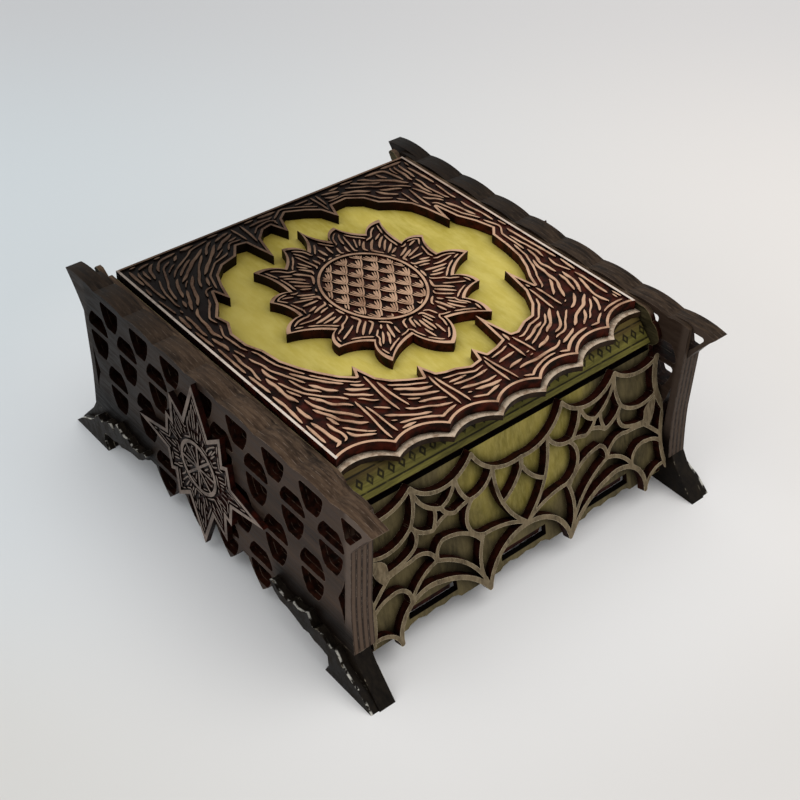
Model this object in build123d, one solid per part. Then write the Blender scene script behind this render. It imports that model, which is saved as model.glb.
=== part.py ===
from build123d import *
import math
import os

os.makedirs("parts", exist_ok=True)

# Dice box with a hinged lid, built up from laser-cut sheet. Millimetres, +Z up, front towards -Y.
# The origin is on the table, at the middle of the footprint.

# ---- sheet stock and running gaps
PLY = 2.7               # walls, lattice layers, lid board
CARVED = 4.0            # carved overlays, up to their engraved ground
RELIEF = 0.8            # raised border lines above the engraved ground
FRET = 4.2              # web fretwork on the front
ROCK = 4.0              # rough outer plates of the feet
LID_GAP = 0.8           # lid to side wall, each side
REST_GAP = 0.2          # closed lid to what it rests on

# ---- case
INNER_HALF = 86.0       # half of the clear width between the side walls
BODY_BACK = 92.0        # outer face of both back walls
FRONT_TOP = BODY_BACK - 11.7    # front wall, outer top edge, ahead of the middle
LEAN = 14.25            # front wall, degrees out of plumb
WALL_FOOT = 9.0         # lower edge of the walls
FLOOR_UNDER = 14.4      # underside of the floor board
BASE_TOP = 75.6         # highest cusps of the front web; the slope's face is measured from here
WALL_DROP = 2.3         # front wall's upper edge below it
SEAM = 2.6              # height of the dark joint between base and lid
LIP_DEEP = 12.0         # the inner lip that the lid rests on reaches this far down
SLOT_WIDTH = 27.0       # tab slots in the front and back walls
SLOT_HIGH = 5.2
SLOT_STEP = 53.0
TAB_PLAY = 2.7          # slots longer than the tabs, each end
TAB_SHORT = 1.2         # tabs stop this far inside the wall face

# ---- lid
LID_WALL = 9.4          # height of the lid's walls
LID_OUTSET = 1.3        # lid front wall's foot ahead of the case's front edge
SCALLOPS = 7            # across the front edge
BOW = 14.2              # how far the front edge bows forward in the middle
NOSE = FRONT_TOP + 4.2  # foremost cusp of the carved overlay
SCALLOP_SAG = 4.5
LEDGE = 3.2             # lid board ahead of the overlay
OVERLAY_INSET = 0.7     # overlay inside the lid board at sides and back
RIM = 1.2               # width of the raised border lines

# ---- side lattices
POST_BEHIND = 6.4       # end posts behind the back walls
COLUMNS = 4             # cells each side of the middle
LAYERS = 3              # beaked lattice layers outside the plain one
RAIL_BELOW = 1.3        # cusps of the top rail below the lid's carved ground
RAIL = 2.2
RAIL_SAG = 1.5
BAR = 2.6               # level bars between the rows of holes
TOP_SHARE, LOW_SHARE = 0.246, 0.215     # of the side's height, above the top bar and below the lowest
BEAK_DROP = 17.0        # neck below the beak's tip
BEAK_SAG = 0.6
BEAK_RIM = 3.1          # level width left outside the front beak's hole
BEAK_HOLE = 10.8        # its height
CUSP_DROP = 16.3        # bottom cusps below the lowest bar
CROWN_DROP = 3.4        # crowns between the bottom cusps, below the same bar
CROWN_HALF = 2.4        # half of the flat at each crown
CUSP_SAG = 0.7
SHORT_TOOTH = 5.0       # depth of the tooth hidden by each foot's ledge
TOOTH_SWELL = 0.61977   # a tooth hole's end corners, before rounding, outside the tooth's chords
RIB_DOWN, RIB_UP = 4.7, 3.7     # half of the rib between two holes that narrow downward, or upward
END_DOWN, END_UP = 3.5, 4.3     # half of their narrow ends
HOLE_SAG = 1.0
HOLE_ROUND = 1.5
POST_WIDE = 3.6         # post outside the last slot
SLOT_BITE = 4.4         # depth of the slots beside the posts
HORN = 5.6              # side wall's broken horn behind the posts
HORN_ROOT = 9.5         # root of the horn below the rail

# ---- feet, measured from the end posts
SEAT_IN = 14.4          # inner end of the foot's seat under the lattice
TOE_OUT = 18.9
HEEL_IN = 11.4
POST_FLARE = 2.4        # post's outer edge leans out by this above the foot
ROCK_IN = 48.4          # inner end of the rough ledge

# ---- star emblems
STAR_FLOOR = 1.6        # lowest point above the table
STAR_PROUD = 0.4        # highest point above the rail
STAR_WIDE = 48.0        # half width
STAR_BACK = 3.7         # middle of the star behind the middle of the case
STAR_RIM = 1.9
STAR_DRAWN = (0.0, 0.0, 48.0, 46.0)     # box of one quarter, drawn from its middle
STAR_QUARTER = [(0, 46), (9.6, 22.5), (19.2, 29.7), (19.7, 15.2), (23.5, 17.0), (25.0, 5.5), (48, 0)]
RING_R = 13.8
SPOKE = 1.2

# ---- hinges
HINGE_IN = 40.2         # middle of each hinge, in from the lid's end
LEAF_LONG = 26.0
LEAF_THICK = 1.0
BASE_LEAF, LID_LEAF = 11.0, 8.2
KNUCKLE_R = 2.0
PIN_R = 0.9
PIN_PLAY = 0.05
PIN_HEAD = 1.5
KNUCKLE_GAP = 0.3
SCREW_R, SCREW_HEAD_R, SCREW_HEAD_T, SCREW_DEEP = 0.9, 1.8, 0.6, 2.2
SCREW_SPREAD = 8.5

# ---- heights and faces that follow
SEAM_TOP = BASE_TOP + SEAM
LID_UNDER = SEAM_TOP + LID_WALL
LID_BOARD_TOP = LID_UNDER + PLY
GROUND = LID_BOARD_TOP + CARVED
FLOOR_TOP = FLOOR_UNDER + PLY
LID_HALF = INNER_HALF - LID_GAP
SIDE_TOP = GROUND - RAIL_BELOW
POST = BODY_BACK + POST_BEHIND
PITCH = POST / COLUMNS
FIRST_BAR = TOP_SHARE * SIDE_TOP        # middle of the top bar below the top cusps
LOW_BAR = LOW_SHARE * SIDE_TOP          # middle of the lowest bar above the table
ROW = (SIDE_TOP - FIRST_BAR - LOW_BAR) / 2
DOWN_HALF, DOWN_HIGH = PITCH / 2 - RIB_DOWN, 0.50 * ROW
UP_HALF, UP_HIGH = PITCH / 2 - RIB_UP, 0.39 * ROW
SIDE_OUT = INNER_HALF + (2 + LAYERS) * PLY
TAN_LEAN = math.tan(math.radians(LEAN))
SKEW = PLY / math.cos(math.radians(LEAN))
BARS = [SIDE_TOP - FIRST_BAR - i * ROW for i in range(3)]
FOOT_TOP = LOW_BAR - 0.5
FOOT_SEAT = POST - SEAT_IN
FOOT_TOE = POST + TOE_OUT
FOOT_HEEL = POST - HEEL_IN
ROCK_END = POST - ROCK_IN
LID_FOOT = FRONT_TOP + LID_OUTSET
HINGE_AT = LID_HALF - HINGE_IN
HINGE_Y = BODY_BACK + KNUCKLE_R + KNUCKLE_GAP
HINGE_Z = SEAM_TOP - SEAM / 2 + REST_GAP


def front_y(z):
    """Outer face of the leaning front wall at height z."""
    return -FRONT_TOP - (BASE_TOP - z) * TAN_LEAN


# ---- outlines
def bowed(a, b, sag):
    """Edge from a to b that swells by sag to its left, or a straight one."""
    if abs(sag) < 1e-6:
        return Line(a, b)
    length = math.dist(a, b)
    middle = ((a[0] + b[0]) / 2 - (b[1] - a[1]) / length * sag,
              (a[1] + b[1]) / 2 + (b[0] - a[0]) / length * sag)
    return ThreePointArc(a, middle, b)


def face_up(edges):
    """Face inside closed edges, with its normal along +Z whichever way they run."""
    face = Face(Wire(edges))
    return face if face.normal_at().Z > 0 else -face


def outline(points, sags=None):
    """Face inside a closed outline; sags[i] bows the edge that leaves point i."""
    sags = sags or [0] * len(points)
    return face_up([bowed(a, b, s) for a, b, s in zip(points, points[1:] + points[:1], sags)])


def mirrored(points):
    """Points run back in reverse on the other side of the middle."""
    return [(-x, y) for x, y in reversed(points)]


def inset(points, depth):
    """Corners of a clockwise outline moved in by depth, each to where its two edges meet again."""
    moved = []
    for before, here, after in zip(points[-1:] + points[:-1], points, points[1:] + points[:1]):
        (ax, ay), (bx, by) = [((q[0] - p[0]) / math.dist(p, q), (q[1] - p[1]) / math.dist(p, q))
                              for p, q in ((before, here), (here, after))]
        turn = 1 + ax * bx + ay * by
        moved.append((here[0] + depth * (ay + by) / turn, here[1] - depth * (ax + bx) / turn))
    return moved


def fit(points, drawn, real):
    """Points drawn in one box (low x, low y, high x, high y), stretched to fill another."""
    x_scale = (real[2] - real[0]) / (drawn[2] - drawn[0])
    y_scale = (real[3] - real[1]) / (drawn[3] - drawn[1])
    return [(real[0] + (x - drawn[0]) * x_scale, real[1] + (y - drawn[1]) * y_scale) for x, y in points]


def slab(plane, face, thick):
    """Sheet of a given thickness, standing up from the plane."""
    return extrude(plane * face, amount=thick, dir=plane.z_dir)


def side_plane(x):
    """Plane across the case at x: its own axes are Y and Z, and it faces +X."""
    return Plane(origin=(x, 0, 0), x_dir=(0, 1, 0), z_dir=(1, 0, 0))


def save(name, shape):
    shape.label = name
    export_step(shape, f"parts/{name}.step")


def save_pair(name, shape):
    """Right-hand piece and its mirror image on the left."""
    save(f"{name}_right", shape)
    save(f"{name}_left", mirror(shape, about=Plane.YZ))


# ---- case walls
def leaning_board(z_low, z_high, sheets_behind):
    """Board along the front wall's slope, a number of sheets behind its outer face."""
    low, high = [front_y(z) + sheets_behind * SKEW for z in (z_low, z_high)]
    face = outline([(low, z_low), (low + SKEW, z_low), (high + SKEW, z_high), (high, z_high)])
    return slab(side_plane(-INNER_HALF), face, 2 * INNER_HALF)


def row_of_three(y_from, y_to, wide, high):
    """Three boxes side by side from y_from to y_to, level with the middle of the floor board."""
    middle = FLOOR_UNDER + PLY / 2
    return [Pos(i * SLOT_STEP, (y_from + y_to) / 2, middle) * Box(wide, y_to - y_from, high)
            for i in (-1, 0, 1)]


def slots(y_from, y_to):
    return row_of_three(y_from, y_to, SLOT_WIDTH, SLOT_HIGH)


def tabs(y_from, y_to):
    return row_of_three(y_from, y_to, SLOT_WIDTH - 2 * TAB_PLAY, PLY)


FOOT_GAP = [
    # ragged cut in the wall's lower edge under a slot, from its middle
    (-15.0, 0), (-13.4, 1.2), (-9.0, 2.2), (-4.6, 1.0), (0.8, 2.0), (5.4, 1.1), (9.8, 2.2), (13.2, 1.4),
    (15.0, 0)]


def front_wall():
    """Leaning wall with its tab slots, cut away in a ragged line under each of them."""
    wall = leaning_board(WALL_FOOT, BASE_TOP - WALL_DROP, 0)
    wall = wall - slots(front_y(WALL_FOOT) - PLY, front_y(BASE_TOP))
    deep = Plane(origin=(0, front_y(WALL_FOOT) - PLY, WALL_FOOT), x_dir=(1, 0, 0), z_dir=(0, -1, 0))
    for i in (-1, 0, 1):
        gap = outline([(x + i * SLOT_STEP, z) for x, z in FOOT_GAP])
        wall = wall - extrude(deep * gap, amount=FRONT_TOP, dir=(0, 1, 0))
    return wall


def front_lip():
    return leaning_board(BASE_TOP - LIP_DEEP, SEAM_TOP - REST_GAP, 1)


def upright_board(half, y_out, z_low, z_high):
    return Pos(0, y_out - PLY / 2, (z_low + z_high) / 2) * Box(2 * half, PLY, z_high - z_low)


def base_back_wall():
    wall = upright_board(INNER_HALF, BODY_BACK, WALL_FOOT, HINGE_Z - REST_GAP)
    return wall - slots(BODY_BACK - 2 * PLY, BODY_BACK + PLY) - screw_holes(-1)


def floor_panel():
    y_front, y_back = front_y(FLOOR_TOP) + SKEW, BODY_BACK - PLY
    board = Pos(0, (y_front + y_back) / 2, FLOOR_UNDER + PLY / 2) * Box(
        2 * INNER_HALF, y_back - y_front, PLY)
    return board + tabs(front_y(FLOOR_TOP) + TAB_SHORT, y_front) + tabs(y_back, BODY_BACK - TAB_SHORT)


def side_wall():
    """Inner wall: leaning front edge, cusped profile beside the lid, broken horn behind."""
    rise = SIDE_TOP - BASE_TOP
    horn = [(POST, SIDE_TOP - HORN_ROOT), (POST + HORN, SIDE_TOP - 1.4), (POST + HORN - 1.2, SIDE_TOP),
            (POST + 1.6, SIDE_TOP), (POST - 2.6, SIDE_TOP - 2.8), (POST - 6.0, SIDE_TOP)]
    cusps = [(-FRONT_TOP + 6.0, SIDE_TOP), (-FRONT_TOP + 0.4, BASE_TOP + 0.71 * rise),
             (-FRONT_TOP - 4.9, BASE_TOP + 0.25 * rise)]
    points = [(-FRONT_TOP, BASE_TOP), (front_y(WALL_FOOT), WALL_FOOT), (POST, WALL_FOOT)] + horn + cusps
    sags = [0] * (3 + len(horn)) + [-1.0, -1.4, -0.8]
    return slab(side_plane(INNER_HALF), outline(points, sags), PLY)


# ---- web fretwork, drawn for its right half as (x, height) in a box of this size
WEB_DRAWN = (-88.7, 8.6, 88.7, 75.2)
WEB_RISE = FRET * math.sin(math.radians(LEAN))     # its outer face stands this much higher than its back
WEB_BOX = (-INNER_HALF - PLY, WALL_FOOT - 0.4 - WEB_RISE, INNER_HALF + PLY, BASE_TOP - 0.4 - WEB_RISE)
WEB_LINE, WEB_EDGE = 1.8, 2.3       # widths of its ribs
WEB_RIBS = [
    # start, point on the way, end, width
    ((0, 61.5), (15.0, 63.6), (26.3, 75.2), WEB_LINE),          # drapes under the seam
    ((26.3, 75.2), (42.6, 67.2), (59.0, 75.2), WEB_LINE),
    ((59.0, 75.2), (73.0, 69.2), (87.0, 71.8), WEB_LINE),
    ((86.4, 71.8), (84.4, 58.5), (88.9, 46.0), 3.2),            # side edge
    ((88.8, 45.0), (86.0, 30.0), (88.9, 14.6), WEB_EDGE),
    ((0, 61.5), (0.3, 59.4), (0, 57.2), WEB_LINE),              # under the middle drape
    ((0, 29.2), (11.6, 43.4), (15.9, 62.8), WEB_LINE),
    ((0, 57.6), (4.8, 50.6), (12.6, 45.2), WEB_LINE),
    ((16.2, 63.4), (21.0, 57.6), (30.5, 55.6), WEB_LINE),       # cup under the first cusp
    ((30.5, 55.6), (34.2, 61.0), (36.2, 68.2), WEB_LINE),
    ((28.6, 55.2), (32.8, 48.0), (24.6, 36.0), WEB_LINE),
    ((24.6, 36.0), (15.4, 35.2), (0, 29.2), WEB_LINE),          # over the middle arch's flank
    ((24.6, 8.6), (28.2, 25.0), (25.2, 35.8), WEB_LINE),
    ((37.0, 68.0), (40.3, 61.8), (45.2, 59.2), WEB_LINE),       # cup under the second cusp
    ((45.2, 59.2), (53.0, 63.9), (58.8, 75.0), WEB_LINE),
    ((30.5, 55.6), (34.5, 54.9), (38.3, 53.7), WEB_LINE),
    ((38.3, 53.7), (41.0, 54.6), (45.0, 59.0), WEB_LINE),
    ((42.6, 55.2), (46.4, 54.0), (50.8, 51.4), WEB_LINE),
    ((48.6, 60.2), (48.8, 56.0), (50.8, 51.4), WEB_LINE),
    ((50.8, 51.4), (57.3, 53.9), (61.6, 58.6), WEB_LINE),
    ((59.0, 75.2), (59.0, 65.0), (61.6, 58.2), WEB_LINE),       # upper right cell
    ((61.6, 58.2), (70.0, 53.4), (84.8, 55.2), WEB_LINE),
    ((61.6, 58.2), (59.6, 51.4), (63.4, 46.8), WEB_LINE),
    ((63.4, 46.8), (69.0, 44.8), (76.0, 44.0), WEB_LINE),
    ((51.0, 36.8), (55.6, 43.0), (64.0, 43.6), WEB_LINE),       # lower right cells
    ((64.0, 43.6), (70.0, 43.2), (76.0, 42.2), WEB_LINE),
    ((75.6, 42.4), (80.6, 38.0), (86.2, 32.6), WEB_LINE),
    ((66.4, 25.4), (70.6, 33.0), (76.4, 33.4), WEB_LINE),
    ((76.4, 33.4), (81.4, 32.2), (86.2, 28.8), WEB_LINE),
    ((50.4, 36.6), (50.0, 41.4), (46.6, 44.8), WEB_LINE),       # cell over the outer arch
    ((46.6, 44.8), (37.6, 43.0), (26.2, 34.0), WEB_LINE),
    ((24.9, 9.6), (36.4, 28.0), (51.0, 36.8), WEB_LINE),        # outer arches, upper and lower
    ((51.0, 36.8), (60.2, 32.6), (66.6, 25.0), WEB_LINE),
    ((24.6, 8.6), (36.4, 20.4), (50.0, 26.2), WEB_EDGE),
    ((50.0, 26.2), (67.6, 23.6), (74.4, 8.6), WEB_EDGE),
    ((74.4, 8.6), (79.6, 15.4), (87.6, 17.0), WEB_LINE),
]
WEB_ARCH = ((-24.6, 8.6), (0, 28.6), (24.6, 8.6), WEB_EDGE)     # the middle arch
WEB_LEAF = [(75.4, 44.0), (76.0, 48.6), (79.0, 51.6), (84.6, 53.6), (82.6, 46.0), (79.0, 40.6)]
WEB_LEAF_SAGS = [0, 0.3, 0, 0, 0.3, 0]


def web_plane():
    """Plane on the front wall's outer face: x across, y up the slope from table height."""
    normal = (0, -math.cos(math.radians(LEAN)), math.sin(math.radians(LEAN)))
    return Plane(origin=(0, front_y(0), 0), x_dir=(1, 0, 0), z_dir=normal)


def up_slope(points):
    """Drawn points on the leaning face, in the web's own plane."""
    return [(x, z / math.cos(math.radians(LEAN))) for x, z in fit(points, WEB_DRAWN, WEB_BOX)]


def rib(start, via, end, wide):
    """Curved bar of one width along an arc up the slope, with round ends."""
    a, m, b = up_slope([start, via, end])
    arc = ThreePointArc(a, m, b)
    centre, radius = arc.arc_center, arc.radius

    def beside(point, off):
        scale = (radius + off) / radius
        return (centre.X + (point[0] - centre.X) * scale, centre.Y + (point[1] - centre.Y) * scale)

    outer = [beside(p, wide / 2) for p in (a, m, b)]
    inner = [beside(p, -wide / 2) for p in (b, m, a)]
    strip = face_up([ThreePointArc(*outer), Line(outer[2], inner[0]),
                     ThreePointArc(*inner), Line(inner[2], outer[0])])
    return [strip, Pos(*a) * Circle(wide / 2), Pos(*b) * Circle(wide / 2)]


def other_side(arc):
    return tuple((-x, z) for x, z in arc[:3]) + (arc[3],)


def front_fretwork():
    """Ribs and leaves of both halves and the arch between them, trimmed at the side walls."""
    arcs = WEB_RIBS + [other_side(arc) for arc in WEB_RIBS] + [WEB_ARCH]
    faces = [piece for arc in arcs for piece in rib(*arc)]
    faces += [outline(up_slope(WEB_LEAF), WEB_LEAF_SAGS),
              outline(up_slope([(-x, z) for x, z in WEB_LEAF]), [-sag for sag in WEB_LEAF_SAGS])]
    web = faces[0] + faces[1:]
    trim = Pos(0, BASE_TOP / 2) * Rectangle(WEB_BOX[2] - WEB_BOX[0], 2 * BASE_TOP)
    return slab(web_plane(), web & trim, FRET)


# ---- side lattices
def tooth_half(z):
    """Half width of a bottom tooth between its chords, at height z."""
    crown, cusp = LOW_BAR - CROWN_DROP, LOW_BAR - CUSP_DROP
    return (PITCH / 2 - CROWN_HALF) * (z - cusp) / (crown - cusp)


def shield_hole(y, z_flat, high):
    """Rounded hole with its wide level side at z_flat; it narrows downward, or upward if high is negative.
    Below the lowest bar its narrow end follows the width of the bottom tooth around it."""
    half, end = (DOWN_HALF, END_DOWN) if high > 0 else (UP_HALF, END_UP)
    if z_flat < BARS[2]:
        end = tooth_half(z_flat - high) + TOOTH_SWELL
    sag = math.copysign(HOLE_SAG, -high)
    points = [(y - half, z_flat), (y - end, z_flat - high), (y + end, z_flat - high), (y + half, z_flat)]
    return fillet(outline(points, [sag, 0, sag, 0]).vertices(), HOLE_ROUND)


def beak_hole():
    """Hole in the front beak, with an even rim along the beak's leaning edge."""
    top = SIDE_TOP - RAIL
    low = top - BEAK_HOLE
    lean = PITCH / 2 / BEAK_DROP
    outer = [-POST - PITCH / 2 + BEAK_RIM + (SIDE_TOP - z) * lean for z in (low, top)]
    points = [(outer[1], top), (outer[0], low), (3.2 + outer[0], low), (6.4 - POST, top)]
    return fillet(outline(points).vertices(), 0.8 * HOLE_ROUND)


def lattice_holes(beaks):
    half_bar = BAR / 2
    inner = [k * PITCH for k in range(1 - COLUMNS, COLUMNS)]
    between = [(k + 0.5) * PITCH for k in range(-COLUMNS, COLUMNS)]
    clear = between[2:-2]
    top, middle, low = BARS
    rows = [(inner, SIDE_TOP - RAIL, DOWN_HIGH),
            (between, top + half_bar, -0.92 * UP_HIGH), (between, top - half_bar, DOWN_HIGH),
            (inner, middle + half_bar, -UP_HIGH), (inner, middle - half_bar, DOWN_HIGH),
            (clear, low + half_bar, -0.92 * UP_HIGH), (clear, low - half_bar, 0.69 * CUSP_DROP)]
    holes = [shield_hole(y, z_flat, high) for places, z_flat, high in rows for y in places]
    if beaks:
        holes.append(beak_hole())
    edge, reach = POST - POST_WIDE, 0.54 * ROW
    for side in (-1, 1):
        bite = side * (edge - SLOT_BITE)
        slot = [(side * edge, middle + reach), (bite, middle), (side * edge, middle - reach)]
        holes.append(outline(slot, [0.5 * side, 0.5 * side, 0]))
    return holes


def lattice_half(beaks):
    """Right half of the outline, from the middle of the top rail to the middle of the foot edge."""
    reach = COLUMNS if beaks else COLUMNS - 1
    points, sags = [], []
    for i in range(reach + 1):
        points.append(((i + 0.5) * PITCH, SIDE_TOP))
        sags.append(RAIL_SAG if i < reach else (-BEAK_SAG if beaks else RAIL_SAG / 2))
    if not beaks:
        points.append((POST, SIDE_TOP))
        sags.append(0)
    points += [(POST, SIDE_TOP - BEAK_DROP), (POST, BARS[1]), (POST + POST_FLARE, FOOT_TOP),
               (FOOT_SEAT, FOOT_TOP)]
    sags += [0, -BEAK_SAG / 2, 0, 0]
    crown, cusp = LOW_BAR - CROWN_DROP, LOW_BAR - CUSP_DROP
    for k in range(COLUMNS - 1, 0, -1):
        tip = crown - SHORT_TOOTH if k == COLUMNS - 1 else cusp
        points += [(k * PITCH + CROWN_HALF, crown), (k * PITCH - CROWN_HALF, crown), ((k - 0.5) * PITCH, tip)]
        sags += [0, CUSP_SAG, CUSP_SAG]
    points.append((CROWN_HALF, crown))
    sags.append(0)
    return points, sags


def lattice_outline(beaks):
    points, sags = lattice_half(beaks)
    back = mirrored(points)
    back_sags = list(reversed(sags[:-1])) + [RAIL_SAG]
    return outline(points + back, sags + back_sags)


def lattice(beaks, layer):
    face = lattice_outline(beaks) - lattice_holes(beaks)
    return slab(side_plane(INNER_HALF + layer * PLY), face, PLY)


# ---- feet, drawn for the back right corner as (y, z)
def foot_core():
    inner = INNER_HALF + 2 * PLY
    toe = [(FOOT_TOE, 0), (FOOT_TOE - 5.4, 0.3 * FOOT_TOP), (FOOT_TOE - 13.0, 0.72 * FOOT_TOP)]
    heel = [(FOOT_SEAT + 0.6, 0.56 * FOOT_TOP), (FOOT_HEEL + 1.8, 0.36 * FOOT_TOP), (FOOT_HEEL, 0)]
    points = toe + [(POST + POST_FLARE, FOOT_TOP), (FOOT_SEAT, FOOT_TOP)] + heel
    return slab(side_plane(inner), outline(points), SIDE_OUT - inner)


ROCK_DRAWN = (50.0, 0.0, 117.3, 19.5)   # from the ledge's end to the toe, from the table to the core's top
ROCK_EDGE = [
    (48.5, 22.5), (51.5, 18.6), (55.7, 16.0), (61, 15.8), (66.8, 14.2), (72, 12.4), (75.5, 13.2),
    (79.1, 11.6), (84, 11.5), (88.2, 10.2), (88.8, 5.0), (86.4, 0), (116.6, 0), (111.4, 4.6),
    (108.4, 6.8), (105.4, 8.2), (101.5, 10.2), (97.6, 13.0), (95.2, 16.6), (92.4, 18.8), (89.5, 16.4),
    (86.5, 18.4), (84.6, 20.0), (81, 20.6), (78.4, 18.4), (76.6, 21.2), (74.8, 24.8), (71.5, 22.4),
    (68, 21.4), (64.5, 22.4), (61, 19.8), (57.4, 20.6), (54, 21.0), (51, 23.4)]


def foot_rock():
    """Rough outer plate: the foot and a broken ledge that runs inward along the lattice."""
    edge = fit(ROCK_EDGE, ROCK_DRAWN, (ROCK_END, 0, FOOT_TOE, FOOT_TOP))
    return slab(side_plane(SIDE_OUT), outline(edge), ROCK)


# ---- star emblems
def star_points():
    """Compass star of twelve spikes, and the height of its middle."""
    low, high = STAR_FLOOR, SIDE_TOP + STAR_PROUD
    half_high, middle = (high - low) / 2, (high + low) / 2
    quarter = fit(STAR_QUARTER, STAR_DRAWN, (0, 0, STAR_WIDE, half_high))
    back = quarter + [(y, -z) for y, z in reversed(quarter[:-1])]
    points = back + mirrored(back[1:-1])
    return [(STAR_BACK + y, middle + z) for y, z in points], middle


def star_emblem():
    points, middle = star_points()
    blank = outline(points)
    ground = slab(side_plane(SIDE_OUT), blank, PLY - RELIEF)
    border = blank - outline(inset(points, STAR_RIM))
    ring = Circle(RING_R) - Circle(RING_R - STAR_RIM)
    spokes = [Rot(0, 0, a) * Rectangle(SPOKE, 2 * RING_R - STAR_RIM) for a in range(0, 180, 45)]
    lines = border + Pos(STAR_BACK, middle) * (ring + spokes)
    raised = slab(side_plane(SIDE_OUT + PLY - RELIEF), lines, RELIEF)
    return ground + raised


# ---- lid
def scalloped(half, back, nose):
    """Board outline with a straight back and a scalloped, bowed front edge."""
    step = 2 * half / SCALLOPS
    cusps = []
    for i in range(SCALLOPS + 1):
        x = -half + i * step
        cusps.append((x, -nose + BOW * (x / half) ** 2))
    points = cusps + [(half, back), (-half, back)]
    return outline(points, [SCALLOP_SAG] * SCALLOPS + [0, 0, 0])


LID_DRAWN = (-84.5, -84.5, 84.5, 91.3)
OPENING = [
    # ragged edge around the lid's painted field, clockwise from the upper left
    (-50, 60), (-44, 65.5), (-35, 68), (-30, 75), (-25, 74), (-21.5, 57), (-17.5, 73), (-12, 78.5),
    (-7, 79.5), (-3.5, 70), (0.5, 81), (5, 84.5), (14, 80), (20, 75.5), (23.5, 66), (27, 76),
    (36, 76.5), (43, 71.5), (46.5, 64), (53, 59.5), (58.5, 53), (61, 45), (63.5, 30.5), (66.5, 44),
    (68.5, 31), (72.5, 22.5), (75, 13), (71, 8.5), (70, -2), (68, -12.5), (64.5, -20.5), (60, -27.5),
    (57.5, -33.5), (54.5, -17.5), (51, -34.5), (46, -43.5), (40, -49.5), (34, -50.5), (27, -54),
    (24, -53.5), (20.5, -34.5), (17.5, -54.5), (12, -56.5), (6, -57.5), (3, -51), (0.5, -58.5),
    (-5, -59.5), (-11, -56.5), (-16, -55.5), (-19.5, -54), (-22.5, -45.5), (-25.5, -53), (-31, -50),
    (-37, -46), (-41, -41), (-44, -29), (-47, -35.5), (-52, -31), (-57.5, -23), (-61.5, -16),
    (-65, -8), (-66.5, 2.5), (-69.5, 10), (-70, 20), (-66.5, 27.5), (-68, 34), (-62.5, 41.5),
    (-59, 50.5), (-56, 42), (-53, 52.5)]


def lid_bark_frame():
    half, back = LID_HALF - OVERLAY_INSET, BODY_BACK - OVERLAY_INSET
    blank = scalloped(half, back, NOSE)
    hole = outline(fit(OPENING, LID_DRAWN, (-half, -NOSE, half, back)))
    frame = blank - hole
    ground = slab(Plane.XY.offset(LID_BOARD_TOP), frame, CARVED)
    edge_line = blank - offset(blank, amount=-RIM)
    hole_line = (offset(hole, amount=RIM) - hole) & blank
    raised = slab(Plane.XY.offset(GROUND), edge_line + hole_line, RELIEF)
    return ground + raised


def lid_board():
    return slab(Plane.XY.offset(LID_UNDER), scalloped(LID_HALF, BODY_BACK, NOSE + LEDGE), PLY)


CREST_MIDDLE = (BODY_BACK - NOSE) / 2 + 7.3     # middle of the crest on the lid
CREST_WIDE, CREST_HIGH = 52.5, 57.0
CREST_LEAVES = 14
LEAF_LEAN = 7.0         # degrees by which the leaf tips lean away from the front
OVAL_WIDE, OVAL_HIGH = 23.5, 27.5


def crest_outline():
    """Medallion of curved leaves around an oval, alike on both sides of the middle."""
    half = [(0, CREST_HIGH)]
    sags = []
    leaves = CREST_LEAVES // 2
    for i in range(leaves):
        notch = math.radians((i + 0.42) * 180 / leaves)
        tip = math.radians((i + 1) * 180 / leaves)
        deep = 0.71 if i % 2 == 0 else 0.76
        long = 1.0 if i % 2 == 1 else 0.9
        half.append((CREST_WIDE * deep * math.sin(notch), CREST_HIGH * deep * math.cos(notch)))
        sags += [-1.6, 2.2]
        if i < leaves - 1:
            lean = tip - math.radians(LEAF_LEAN)
            half.append((CREST_WIDE * long * math.sin(lean), CREST_HIGH * long * math.cos(lean)))
    half.append((0, -0.96 * CREST_HIGH))
    points = [(x, y + CREST_MIDDLE) for x, y in half + mirrored(half[1:-1])]
    return points, sags + list(reversed(sags))


def lid_crest():
    points, sags = crest_outline()
    blank = outline(points, sags)
    ground = slab(Plane.XY.offset(LID_BOARD_TOP), blank, CARVED)
    border = blank - outline(inset(points, RIM), sags)
    oval = Pos(0, CREST_MIDDLE) * (Ellipse(OVAL_WIDE, OVAL_HIGH) - Ellipse(OVAL_WIDE - RIM, OVAL_HIGH - RIM))
    raised = slab(Plane.XY.offset(GROUND), border + oval, RELIEF)
    return ground + raised


def lid_front_wall():
    """Wall at 45 degrees under the scalloped edge."""
    inner = PLY * math.sqrt(2) - LID_FOOT
    face = outline([(-LID_FOOT, SEAM_TOP), (inner, SEAM_TOP), (inner + LID_WALL, LID_UNDER),
                    (LID_WALL - LID_FOOT, LID_UNDER)])
    return slab(side_plane(-LID_HALF), face, 2 * LID_HALF)


def lid_side_wall():
    inner = PLY * math.sqrt(2) - LID_FOOT
    face = outline([(inner, SEAM_TOP), (BODY_BACK, SEAM_TOP), (BODY_BACK, LID_UNDER),
                    (inner + LID_WALL, LID_UNDER)])
    return slab(side_plane(LID_HALF - PLY), face, PLY)


def lid_back_wall():
    return upright_board(LID_HALF - PLY, BODY_BACK, SEAM_TOP, LID_UNDER) - screw_holes(1)


# ---- hinges
def along_x(radius, long, x=0.0, y=0.0, z=0.0):
    return Pos(x, y, z) * Rot(0, 90, 0) * Cylinder(radius, long)


def screw_spots(side):
    """Screw centres of the base (-1) or lid (1) leaf, as (x from the hinge's middle, z)."""
    high = BASE_LEAF if side < 0 else LID_LEAF
    return [(dx, HINGE_Z + side * (high + KNUCKLE_R) / 2) for dx in (-SCREW_SPREAD, SCREW_SPREAD)]


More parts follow.
